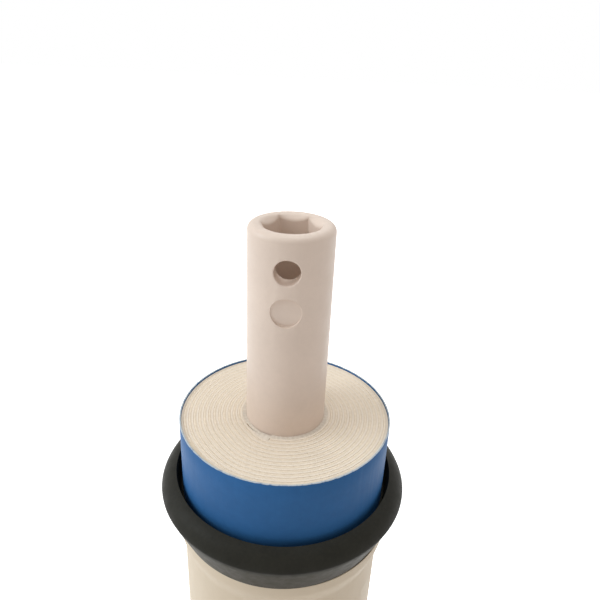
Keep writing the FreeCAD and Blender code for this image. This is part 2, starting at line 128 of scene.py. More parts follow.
class RollSettings(bpy.types.PropertyGroup):
    """Sizes and colours of the wound leaf, spacer, carrier and glue."""
    tube: length("Tube radius", "Radius of the permeate tube under the roll", 8.5 * MM)
    start: turned("Leaf start", "Direction in which the leaf starts, from +X towards +Y", 256.0)
    ramp: turned("Climb", "Angle over which a turn climbs onto the next", 42.0)
    gap: length("Layer gap", "Play between neighbouring layers", 0.03 * MM)
    leaf_turns: IntProperty(name="Leaf turns", description="Turns of the leaf", default=13, min=2)
    carrier_turns: IntProperty(name="Carrier turns", description="Turns of the carrier net",
                               default=4, min=1)
    carrier_wall: length("Carrier wall", "Thickness of the carrier net", 0.2 * MM)
    ply: length("Membrane ply", "Thickness of one membrane ply", 0.15 * MM)
    recess: length("Carrier recess", "How far the carrier ends below the plies", 0.02 * MM)
    strand: length("Strand spacing", "Spacing of the net's strands along a turn", 1.5 * MM)
    notch: length("Strand notch", "Depth of the gaps between the net's cut strands", 0.035 * MM)
    sunk: length("Spacer recess", "How far the spacer ends below the leaf", 0.015 * MM)
    stride: length("Segment", "Length of one segment of a wound sheet", 0.75 * MM)
    leaf: tint("Membrane", "Cream of the membrane", (0.84, 0.735, 0.61))
    carrier: tint("Carrier", "White of the permeate carrier", (0.83, 0.755, 0.66))
    spacer: tint("Spacer net", "Cream of the net spacer", (0.83, 0.72, 0.58))
    glue: tint("Glue", "Pale amber of the cured glue", (0.76, 0.645, 0.49))


class TapeSettings(bpy.types.PropertyGroup):
    """Sizes and colours of the blue tape."""
    wall: length("Wall", "Thickness of the tape's turns together", 0.35 * MM)
    lap: length("Lap", "Step where the tape's free end lies on the turn below", 0.05 * MM)
    seam: turned("Seam", "Direction of the tape's free end, from +X towards +Y", -45.0)
    edge: length("Edge rounding", "Rounding of the tape's edge", 0.06 * MM)
    blue: tint("Tape", "Blue of the tape", (0.029, 0.124, 0.318))
    # Pale blue for a painted highlight along the tape's cut top edge.
    edge_highlight: tint("Cut edge", "Pale edge where the tape was cut", (0.48, 0.54, 0.58))


class SealSettings(bpy.types.PropertyGroup):
    """Sizes and colours of the rubber brine seal."""
    play: length("Play", "Play between the seal and the tape", 0.03 * MM)
    mouth: length("Mouth reach", "How far the lip's inner edge stands out from the tape", 1.3 * MM)
    groove: length("Groove depth", "Depth of the groove behind the lip", 4.6 * MM)
    floor: length("Groove floor", "Width of the groove's floor", 0.5 * MM)
    drop: length("Lip drop", "Height of the lip's inner edge above its rim", 3.4 * MM)
    crown: length("Crown radius", "Radius of the lip's rounded top", 5.6 * MM)
    land: length("Rim land", "Height of the rim's land", 0.4 * MM)
    skirt: length("Skirt reach", "How far the cone's foot stands out from the tape", 1.25 * MM)
    band: length("Band wall", "Thickness of the band under the label", 1.0 * MM)
    band_height: length("Band height", "Height of the band under the label", 2.6 * MM)
    rubber: tint("Rubber", "Black of the moulded rubber", (0.017, 0.0165, 0.0125))
    # Brown for dust on the rubber, and for the painted bounce light on its downward faces.
    bloom_and_painted_bounce: tint("Bloom", "Dusty bloom on the rubber", (0.058, 0.050, 0.033))


class LabelSettings(bpy.types.PropertyGroup):
    """Sizes and colours of the white label wrap."""
    wall: length("Wall", "Thickness of the label wrap", 0.2 * MM)
    play: length("Play", "Play under the label", 0.03 * MM)
    fall: length("Fall", "Height over which the label falls from the seal to the tape", 3.2 * MM)
    lap: length("Lap", "Step where the label's free end lies on its start", 0.1 * MM)
    seam: turned("Seam", "Direction of the label's free end, from +X towards +Y", 118.0)
    loose: length("Looseness", "How far the upper edge stands off on its loose side", 0.45 * MM)
    loose_side: turned("Loose side", "Direction of the loose side, from +X towards +Y", -6.0)
    loose_height: length("Loose height", "Height over which the loose side settles", 15 * MM)
    vinyl: tint("Vinyl", "White of the bare vinyl", (0.675, 0.570, 0.436))


class StageSettings(bpy.types.PropertyGroup):
    """The camera, the lights and the floor."""
    lens: FloatProperty(name="Lens", description="Focal length on a 36 mm sensor", default=34.06,
                        min=1.0, subtype="DISTANCE_CAMERA", unit="CAMERA")
    away: length("Camera distance", "From the element's axis to the camera", 102.19 * MM)
    above: length("Camera height", "Camera above the tape's upper edge", 76.52 * MM)
    pitch: turned("Pitch", "How far the camera looks down", 25.84)
    roll: turned("Roll", "Turn of the camera about its own line of sight", 2.58)
    yaw: turned("Yaw", "Turn of the camera's sight to the right of the axis", 1.19)
    round: turned("Round", "How far round the element the camera stands", 4.0)
    ambient: share("Ambient", "Strength of the light from all round", 0.52)
    warmth: tint("Ambient colour", "Colour of the light from all round", (1.0, 0.94, 0.885))
    day: tint("Key colour", "Colour of the lamps", (0.88, 0.955, 1.0))
    key: FloatProperty(name="Key light", description="Power of the soft light from the left",
                       default=10.5, min=0.0, unit="POWER")
    top: FloatProperty(name="Top light", description="Power of the soft light from above",
                       default=9.0, min=0.0, unit="POWER")
    paper: tint("Paper", "White of the floor", (0.9, 0.9, 0.9))


# ---------------------------------------------------------------- modelling by hand


def clear_selection():
    """Leave edit mode and select nothing."""
    if bpy.context.object and bpy.context.object.mode != "OBJECT":
        bpy.ops.object.mode_set(mode="OBJECT")
    bpy.ops.object.select_all(action="DESELECT")


def polar(radius, angle, height=0.0):
    """The point at a radius and an angle about the element's axis."""
    return Vector((radius * math.cos(angle), radius * math.sin(angle), height))


def draw_outline(name, points, angle=0.0):
    """Draw a closed outline, given as radii and heights, in the upright plane at an angle."""
    return draw_chain(name, [polar(radius, angle, height) for radius, height in points])


def draw_chain(name, places):
    """Draw a closed outline by extruding one vertex from place to place."""
    clear_selection()
    bpy.ops.mesh.primitive_plane_add(size=MM, location=AXIS)
    piece = bpy.context.object
    piece.name = piece.data.name = name
    bpy.ops.object.mode_set(mode="EDIT")
    bpy.ops.mesh.select_all(action="SELECT")
    bpy.ops.mesh.merge(type="CENTER")
    bpy.ops.transform.translate(value=places[0])
    for here, there in zip(places, places[1:]):
        bpy.ops.mesh.extrude_vertices_move(TRANSFORM_OT_translate={"value": there - here})
    mesh = bmesh.from_edit_mesh(piece.data)
    for vertex in mesh.verts:
        vertex.select_set(len(vertex.link_edges) == 1)
    bmesh.update_edit_mesh(piece.data)
    bpy.ops.mesh.edge_face_add()
    bpy.ops.mesh.select_all(action="SELECT")
    return piece


def sweep_on(centre, sweep, stride, radius):
    """Carry the selected outline on round a centre, anticlockwise for a positive sweep."""
    steps = max(1, math.ceil(abs(sweep) * radius / stride))
    bpy.ops.mesh.spin(steps=steps, angle=-sweep, center=centre, axis=UP)


def close_up(piece):
    """Merge doubles, point the faces outwards and go back to object mode."""
    bpy.ops.mesh.select_all(action="SELECT")
    bpy.ops.mesh.remove_doubles(threshold=WELD)
    bpy.ops.mesh.normals_make_consistent(inside=False)
    bpy.ops.object.mode_set(mode="OBJECT")
    return piece


def turn_piece(name, points, steps, angle=0.0):
    """A piece turned once round the axis from an outline that starts at an angle."""
    piece = draw_outline(name, points, angle)
    bpy.ops.mesh.spin(steps=steps, angle=-math.tau, center=AXIS, axis=UP)
    return close_up(piece)


def cap_ends():
    """Close the open ends of a swept outline."""
    bpy.ops.mesh.select_all(action="DESELECT")
    bpy.ops.mesh.select_mode(type="EDGE")
    bpy.ops.mesh.select_non_manifold(extend=False, use_wire=True, use_boundary=True,
                                     use_multi_face=False, use_non_contiguous=False,
                                     use_verts=False)
    bpy.ops.mesh.fill_holes(sides=0)
    bpy.ops.mesh.select_mode(type="VERT")


def climb_arcs(roll, radius, pitch):
    """Centre, sweep and radius of the two arcs that lift a turn onto the next."""
    leave_at, arrive_at = roll.start - roll.ramp, roll.start
    first, last = polar(radius, leave_at), polar(radius + pitch, arrive_at)
    leave, arrive = polar(1.0, leave_at + math.pi / 2), polar(1.0, arrive_at + math.pi / 2)
    span, both = last - first, leave + arrive
    spread = 2 * (1 - leave.dot(arrive))
    along = span.dot(both)
    reach = (math.sqrt(along ** 2 + spread * span.dot(span)) - along) / spread
    joint = (first + leave * reach + last - arrive * reach) / 2
    arcs = []
    for point, heading, begin, end in ((first, leave, first, joint), (last, arrive, joint, last)):
        side = Vector((-heading.y, heading.x, 0.0))
        chord = joint - point
        centre = point + side * (chord.dot(chord) / (2 * side.dot(chord)))
        one, two = begin - centre, end - centre
        sweep = math.atan2(one.cross(two).z, one.dot(two))
        arcs.append((centre, sweep, one.length))
    return arcs


def wind_piece(name, points, roll, middle, pitch, turns, stride):
    """Wind an outline into a roll: each turn is a true arc and a climb onto the next."""
    piece = draw_outline(name, points, roll.start)
    flat = math.tau - roll.ramp
    for turn in range(turns):
        radius = middle + turn * pitch
        sweep_on(AXIS, flat, stride, radius)
        if turn < turns - 1:
            for centre, sweep, reach in climb_arcs(roll, radius, pitch):
                sweep_on(centre, sweep, stride, reach)
    cap_ends()
    return close_up(piece)


def choose(piece):
    """Select one piece and make it the active one."""
    clear_selection()
    bpy.context.view_layer.objects.active = piece
    piece.select_set(True)


def cut_away(piece, cutter):
    """Cut one mesh out of a piece and delete the cutter."""
    choose(piece)
    cut = piece.modifiers.new("cut", "BOOLEAN")
    cut.operation = "DIFFERENCE"
    cut.solver = "EXACT"
    cut.object = cutter
    bpy.ops.object.modifier_apply(modifier=cut.name)
    bpy.data.objects.remove(cutter)


def round_edges(piece, width, segments, weigh, sharp=30.0):
    """Round a piece's sharp edges, each by the share of the width that weigh gives it."""
    mesh = bmesh.new()
    mesh.from_mesh(piece.data)
    bmesh.ops.remove_doubles(mesh, verts=mesh.verts, dist=0.03 * MM)
    weight = mesh.edges.layers.float.new("bevel_weight_edge")
    for edge in mesh.edges:
        if len(edge.link_faces) == 2 and edge.calc_face_angle() > math.radians(sharp):
            edge[weight] = weigh((edge.verts[0].co + edge.verts[1].co) / 2)
    mesh.to_mesh(piece.data)
    mesh.free()
    choose(piece)
    bevel = piece.modifiers.new("rounded", "BEVEL")
    bevel.width = width
    bevel.segments = segments
    bevel.limit_method = "WEIGHT"
    bevel.use_clamp_overlap = False
    bpy.ops.object.modifier_apply(modifier=bevel.name)


def even_normals(piece):
    """Let the large faces lead the shading, so that narrow roundings don't bend it."""
    choose(piece)
    weighted = piece.modifiers.new("even", "WEIGHTED_NORMAL")
    weighted.keep_sharp = True
    bpy.ops.object.modifier_apply(modifier=weighted.name)


def smooth(piece, degrees=35.0):
    """Shade a piece smooth but for its sharp edges."""
    choose(piece)
    bpy.ops.object.shade_smooth_by_angle(angle=math.radians(degrees))


def paint(piece, material):
    """Give a piece one material."""
    piece.data.materials.clear()
    piece.data.materials.append(material)


def dress(piece, material, slot, *nodes):
    """Finish a new piece: its material, the nodes it stands for and its body; the slot is not used.
    """
    paint(piece, material)
    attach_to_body(piece, "root")
    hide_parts(*nodes)


def repaint(node, material):
    """Give a CAD node that keeps its shape a new material."""
    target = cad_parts[node]
    target.data.materials.clear()
    target.data.materials.append(material)


# ---------------------------------------------------------------- effects and materials


class Graph:
    """A short way to lay out a node tree."""

    def __init__(self, tree):
        self.tree = tree
        self.tree.nodes.clear()

    def add(self, kind, **settings):
        """A node with its settings; a setting named in_NAME is an input's value or its link."""
        node = self.tree.nodes.new(kind)
        for key, setting in settings.items():
            if not key.startswith("in_"):
                setattr(node, key, setting)
        for key, setting in settings.items():
            if key.startswith("in_"):
                slot = key[3:].replace("_", " ")
                socket = node.inputs[int(slot)] if slot.isdigit() else node.inputs[slot]
                if isinstance(setting, bpy.types.NodeSocket):
                    self.tree.links.new(setting, socket)
                else:
                    socket.default_value = setting
        return node

    def math(self, operation, first, second=0.0, third=0.0):
        """The output of a math node."""
        return self.add("ShaderNodeMath", operation=operation, in_0=first, in_1=second,
                        in_2=third).outputs[0]

    def span(self, value, low, high, to_low, to_high):
        """A value carried from one range to another, and held inside it."""
        return self.add("ShaderNodeMapRange", in_Value=value, in_From_Min=low, in_From_Max=high,
                        in_To_Min=to_low, in_To_Max=to_high).outputs[0]

    def blend(self, factor, first, second, kind="MIX"):
        """Two colours mixed by a factor."""
        node = self.add("ShaderNodeMix", data_type="RGBA", blend_type=kind, in_0=factor)
        for socket, colour in ((node.inputs[6], first), (node.inputs[7], second)):
            if isinstance(colour, bpy.types.NodeSocket):
                self.tree.links.new(colour, socket)
            else:
                socket.default_value = (*colour[:3], 1.0)
        return node.outputs[2]

    def noise(self, place, scale, detail=4.0, rough=0.55):
        """A noise texture's value."""
        return self.add("ShaderNodeTexNoise", in_Vector=place, in_Scale=scale, in_Detail=detail,
                        in_Roughness=rough).outputs[0]

    def stretch(self, vector, *scale):
        """Coordinates scaled along each axis."""
        return self.add("ShaderNodeMapping", in_Vector=vector, in_Scale=scale).outputs[0]

    def place(self, *scale):
        """Object coordinates, scaled along each axis where scales are given."""
        source = self.add("ShaderNodeTexCoord").outputs["Object"]
        return self.stretch(source, *(scale or (1.0, 1.0, 1.0)))


def new_group(name, inputs, outputs):
    """An empty shader node group with named sockets, and its graph, input and output nodes."""
    group = bpy.data.node_groups.new(name, "ShaderNodeTree")
    for label, kind, default in inputs:
        socket = group.interface.new_socket(label, in_out="INPUT", socket_type=kind)
        socket.default_value = default
    for label, kind in outputs:
        group.interface.new_socket(label, in_out="OUTPUT", socket_type=kind)
    graph = Graph(group)
    return group, graph, graph.add("NodeGroupInput"), graph.add("NodeGroupOutput")


def tone_drift():
    """Slow changes of tone over a surface, as age and handling leave."""
    group, graph, given, result = new_group(
        "Tone drift",
        [("Color", "NodeSocketColor", (0.8, 0.8, 0.8, 1.0)), ("Amount", "NodeSocketFloat", 0.05),
         ("Scale", "NodeSocketFloat", 90.0)],
        [("Color", "NodeSocketColor"), ("Mask", "NodeSocketFloat")])
    place = graph.place()
    broad = graph.noise(place, given.outputs["Scale"], 3.0)
    fine = graph.noise(place, graph.math("MULTIPLY", given.outputs["Scale"], 9.0), 2.0)
    mixed = graph.math("MULTIPLY_ADD", fine, 0.35, graph.math("MULTIPLY", broad, 0.65))
    drift = graph.span(mixed, 0.3, 0.7, -1.0, 1.0)
    level = graph.math("MULTIPLY_ADD", drift, given.outputs["Amount"], 1.0)
    shade = graph.add("ShaderNodeCombineColor", in_Red=level, in_Green=level, in_Blue=level)
    colour = graph.blend(1.0, given.outputs["Color"], shade.outputs[0], "MULTIPLY")
    graph.tree.links.new(colour, result.inputs["Color"])
    graph.tree.links.new(mixed, result.inputs["Mask"])
    return group


def fine_grain():
    """A fine skin for bump and roughness, with a stretch along the axis."""
    group, graph, given, result = new_group(
        "Fine grain",
        [("Scale", "NodeSocketFloat", 2500.0), ("Stretch", "NodeSocketFloat", 1.0)],
        [("Height", "NodeSocketFloat")])
    source = graph.add("ShaderNodeTexCoord").outputs["Object"]
    stretch = graph.add("ShaderNodeCombineXYZ", in_X=1.0, in_Y=1.0, in_Z=given.outputs["Stretch"])
    place = graph.add("ShaderNodeVectorMath", operation="MULTIPLY", in_0=source,
                      in_1=stretch.outputs[0]).outputs[0]
    grain = graph.noise(place, given.outputs["Scale"], 3.0, 0.6)
    graph.tree.links.new(grain, result.inputs["Height"])
    return group


def settled_dust():
    """A mask for dust on the faces that look up, broken by noise."""
    group, graph, given, result = new_group(
        "Settled dust",
        [("Lowest", "NodeSocketFloat", 0.2), ("Scale", "NodeSocketFloat", 700.0)],
        [("Mask", "NodeSocketFloat")])
    normal = graph.add("ShaderNodeNewGeometry").outputs["Normal"]
    height = graph.add("ShaderNodeSeparateXYZ", in_Vector=normal).outputs["Z"]
    facing = graph.add("ShaderNodeMapRange", in_Value=height, in_From_Min=given.outputs["Lowest"],
                       in_From_Max=1.0, in_To_Min=0.0, in_To_Max=1.0).outputs[0]
    grain = graph.span(graph.noise(graph.place(), given.outputs["Scale"], 5.0), 0.35, 0.7, 0.0, 1.0)
    mask = graph.math("MULTIPLY", facing, grain)
    graph.tree.links.new(mask, result.inputs["Mask"])
    return group


def round_the_roll():
    """Cylinder coordinates for cloth and tape: radius, arc along the wall and height."""
    group, graph, given, result = new_group(
        "Round the roll",
        [("Radius", "NodeSocketFloat", 0.02)],
        [("Radius", "NodeSocketFloat"), ("Unrolled", "NodeSocketVector")])
    source = graph.add("ShaderNodeTexCoord").outputs["Object"]
    parts = graph.add("ShaderNodeSeparateXYZ", in_Vector=source)
    across, along = parts.outputs["X"], parts.outputs["Y"]
    square = graph.math("ADD", graph.math("MULTIPLY", across, across),
                        graph.math("MULTIPLY", along, along))
    angle = graph.math("ARCTAN2", along, across)
    arc = graph.math("MULTIPLY", angle, given.outputs["Radius"])
    unrolled = graph.add("ShaderNodeCombineXYZ", in_X=arc, in_Y=parts.outputs["Z"])
    graph.tree.links.new(graph.math("SQRT", square), result.inputs["Radius"])
    graph.tree.links.new(unrolled.outputs[0], result.inputs["Unrolled"])
    return group


EFFECTS = {"drift": tone_drift, "grain": fine_grain, "dust": settled_dust, "round": round_the_roll}
GROUPS = {}


def effect(graph, kind, **values):
    """A shared effect placed in a material with its own values."""
    if kind not in GROUPS:
        GROUPS[kind] = EFFECTS[kind]()
    return graph.add("ShaderNodeGroup", node_tree=GROUPS[kind], **values)


def drifting(graph, colour, amount, scale):
    """A base colour that changes slowly over the surface."""
    return effect(graph, "drift", in_Color=(*colour, 1.0), in_Amount=amount,
                  in_Scale=scale).outputs[0]


def grain_height(graph, scale, stretch=1.0):
    """The height of a fine grain."""
    return effect(graph, "grain", in_Scale=scale, in_Stretch=stretch).outputs[0]


def new_material(name, specular=0.5):
    """A material, its graph and its surface shader with a plain specular level."""
    material = bpy.data.materials.new(name)
    material.use_nodes = True
    graph = Graph(material.node_tree)
    surface = graph.add("ShaderNodeBsdfPrincipled")
    surface.inputs["Specular IOR Level"].default_value = specular
    output = graph.add("ShaderNodeOutputMaterial")
    graph.tree.links.new(surface.outputs[0], output.inputs["Surface"])
    return material, graph, surface


def attach(graph, surface, colour, roughness, height=None, strength=0.3, depth=0.02 * MM):
    """Link a colour, a roughness and a bump height to the surface shader."""
    graph.tree.links.new(colour, surface.inputs["Base Color"])
    graph.tree.links.new(roughness, surface.inputs["Roughness"])
    if height is not None:
        bump = graph.add("ShaderNodeBump", in_Height=height, in_Strength=strength,
                         in_Distance=depth)
        graph.tree.links.new(bump.outputs[0], surface.inputs["Normal"])


def moulded_plastic(tube):
    """Satin off-white plastic with flow marks and handling."""
    material, graph, surface = new_material("tube_plastic", 0.4)
    drift = drifting(graph, tube.plastic, 0.035, 110.0)
    flow = graph.noise(graph.place(1.0, 1.0, 0.12), 420.0, 3.0)
    grain = grain_height(graph, 2600.0, 0.6)
    height = graph.math("MULTIPLY_ADD", flow, 0.8, grain)
    dust = effect(graph, "dust", in_Lowest=0.55, in_Scale=900.0).outputs[0]
    colour = graph.blend(graph.math("MULTIPLY", dust, 0.10), drift, (0.46, 0.39, 0.31))
    roughness = graph.span(graph.noise(graph.place(), 330.0), 0.3, 0.7, tube.gloss - 0.06,
                           tube.gloss + 0.08)
    attach(graph, surface, colour, roughness, height, 0.25, 0.03 * MM)
    return material


def ring_rubber(tube):
    """Black nitrile with a dull skin."""
    material, graph, surface = new_material("ring_rubber")
    drift = drifting(graph, tube.rubber, 0.25, 600.0)
    grain = grain_height(graph, 5200.0)
    roughness = graph.span(grain, 0.3, 0.7, 0.38, 0.52)
    attach(graph, surface, drift, roughness, grain, 0.2, 0.01 * MM)
    return material


def carrier_cloth(roll):
    """White tricot knit: wales up the tube and short courses round it."""
    material, graph, surface = new_material("carrier_cloth", 0.25)
    middle = roll.tube + 0.5 * MM
    unrolled = effect(graph, "round", in_Radius=middle).outputs["Unrolled"]
    wales, courses = (graph.add(
        "ShaderNodeTexWave", wave_type="BANDS", bands_direction=direction, in_Vector=unrolled,
        in_Scale=scale, in_Distortion=waver, in_Detail=1.0).outputs["Fac"]
        for direction, scale, waver in (("X", 320.0, 0.6), ("Y", 420.0, 0.8)))
    knit = graph.math("MULTIPLY_ADD", courses, 0.35, graph.math("MULTIPLY", wales, 0.65))
    drift = drifting(graph, roll.carrier, 0.05, 260.0)
    colour = graph.blend(graph.span(knit, 0.0, 1.0, 0.22, 0.0), drift, (0.50, 0.41, 0.30))
    roughness = graph.span(knit, 0.0, 1.0, 0.85, 0.7)
    attach(graph, surface, colour, roughness, knit, 0.5, 0.05 * MM)
    return material


def membrane_cloth(roll):
    """Cream membrane plies on the white carrier that they are bonded to."""
    material, graph, surface = new_material("membrane_cloth", 0.3)
    core = graph.add("ShaderNodeAttribute", attribute_name="core").outputs["Fac"]
    drift = drifting(graph, roll.leaf, 0.05, 170.0)
    fibres = graph.noise(graph.place(), 2100.0, 4.0, 0.7)
    tinted = graph.blend(graph.span(fibres, 0.4, 0.7, 0.0, 0.16), drift, (0.62, 0.50, 0.36))
    radius = effect(graph, "round").outputs["Radius"]
    crest = roll_sizes(roll)["crest"]
    # Darker towards the roll's outer edge, over the last 1.4 mm inside the tape.
    rim = graph.span(radius, crest - 1.4 * MM, crest, 0.0, 0.4)
    darker_rim = graph.blend(rim, tinted, (0.66, 0.55, 0.42))
    colour = graph.blend(graph.math("MULTIPLY", core, 0.6), darker_rim, roll.carrier)
    roughness = graph.span(fibres, 0.3, 0.7, 0.62, 0.82)
    attach(graph, surface, colour, roughness, fibres, 0.25, 0.04 * MM)
    return material


def spacer_net(roll):
    """Cream net, with painted shade between its cut strands, where its ends lie lower."""
    material, graph, surface = new_material("spacer_net")
    deep = graph.add("ShaderNodeAttribute", attribute_name="deep").outputs["Fac"]
    drift = drifting(graph, roll.spacer, 0.07, 240.0)
    # Painted shade: the net turns darker where its notched ends lie deep between the strands.
    colour = graph.blend(graph.math("MULTIPLY", deep, 0.2), drift, (0.62, 0.52, 0.38))
    grain = grain_height(graph, 3000.0)
    roughness = graph.span(grain, 0.3, 0.7, 0.5, 0.68)
    attach(graph, surface, colour, roughness, grain, 0.3, 0.03 * MM)
    return material


def cured_glue(roll):
    """Amber glue with small bubbles."""
    material, graph, surface = new_material("cured_glue")
    drift = drifting(graph, roll.glue, 0.12, 420.0)
    bubbles = graph.add("ShaderNodeTexVoronoi", in_Vector=graph.place(), in_Scale=2600.0)
    pits = graph.span(bubbles.outputs["Distance"], 0.0, 0.35, 0.0, 1.0)
    roughness = graph.span(pits, 0.0, 1.0, 0.45, 0.3)
    attach(graph, surface, drift, roughness, pits, 0.3, 0.04 * MM)
    return material


def tape_film(tape, top, radius):
    """Satin blue film, with a painted highlight along the edge where it was cut."""
    material, graph, surface = new_material("tape_film", 0.1)
    unrolled = effect(graph, "round", in_Radius=radius).outputs["Unrolled"]
    height = graph.add("ShaderNodeSeparateXYZ", in_Vector=unrolled).outputs["Y"]
    ragged = graph.math("MULTIPLY_ADD", graph.noise(unrolled, 900.0, 3.0), 0.35 * MM, height)
    # Painted highlight: the top edge and its rounding turn pale, with a ragged lower limit.
    rim = graph.span(ragged, top + 0.06 * MM, top + 0.16 * MM, 0.0, 1.0)
    drift = drifting(graph, tape.blue, 0.10, 70.0)
    streaks = graph.noise(graph.stretch(unrolled, 1.0, 0.04, 1.0), 1500.0, 2.0)
    streaked = graph.blend(graph.span(streaks, 0.4, 0.75, 0.0, 0.22), drift, (0.03, 0.12, 0.31))
    colour = graph.blend(rim, streaked, tape.edge_highlight)
    grain = grain_height(graph, 1900.0, 0.5)
    wrinkles = graph.noise(graph.stretch(unrolled, 1.0, 0.25, 1.0), 160.0, 2.0)
    relief = graph.math("MULTIPLY_ADD", wrinkles, 3.0, grain)
    roughness = graph.span(streaks, 0.3, 0.7, 0.44, 0.52)
    attach(graph, surface, colour, roughness, relief, 0.14, 0.03 * MM)
    return material


def moulded_rubber(seal):
    """Matt black rubber, browner with dust on the faces that look up and with painted bounce light
    on the faces that look down, in patches where the mould left the skin coarse.
    """
    material, graph, surface = new_material("moulded_rubber", 0.12)
    coarse = graph.noise(graph.place(), 520.0, 5.0, 0.65)
    normal = graph.add("ShaderNodeNewGeometry").outputs["Normal"]
    facing = graph.add("ShaderNodeSeparateXYZ", in_Vector=normal).outputs["Z"]
    # Painted bounce light: faces that look down turn lighter and browner, as if lit from the white
    # label below.
    under = graph.span(facing, 0.0, -0.5, 0.0, 0.62)
    dust = effect(graph, "dust", in_Lowest=0.1, in_Scale=1400.0).outputs[0]
    drift = drifting(graph, seal.rubber, 0.2, 220.0)
    painted_underside_light = graph.math("MULTIPLY", under, graph.span(coarse, 0.3, 0.7, 0.75, 1.0))
    bloom_and_painted_bounce = graph.math("MAXIMUM", painted_underside_light, graph.math("MULTIPLY", dust, 0.12))
    colour = graph.blend(bloom_and_painted_bounce, drift, seal.bloom_and_painted_bounce)
    grain = grain_height(graph, 2400.0)
    roughness = graph.span(coarse, 0.3, 0.7, 0.45, 0.6)
    attach(graph, surface, colour, roughness, grain, 0.3, 0.04 * MM)
    return material


def bare_vinyl(label, radius):
    """Bare white vinyl, satin, with the roll's faint unevenness under it."""
    material, graph, surface = new_material("bare_vinyl", 0.22)
    unrolled = effect(graph, "round", in_Radius=radius).outputs["Unrolled"]
    drift = drifting(graph, label.vinyl, 0.03, 45.0)
    scuffs = graph.noise(graph.stretch(unrolled, 1.0, 0.15, 1.0), 700.0, 4.0, 0.7)
    colour = graph.blend(graph.span(scuffs, 0.62, 0.8, 0.0, 0.18), drift, (0.60, 0.53, 0.45))
    uneven = graph.noise(graph.stretch(unrolled, 1.0, 0.2, 1.0), 110.0, 2.0)
    grain = grain_height(graph, 2200.0)
    relief = graph.math("MULTIPLY_ADD", uneven, 3.0, grain)
    roughness = graph.span(scuffs, 0.3, 0.7, 0.46, 0.56)
    attach(graph, surface, colour, roughness, relief, 0.12, 0.03 * MM)
    return material


# ---------------------------------------------------------------- operators


class Dresser(bpy.types.Operator):
    """What the operators share."""
    bl_options = {"REGISTER"}

    def finish(self, words):
        self.report({"INFO"}, words)
        return {"FINISHED"}


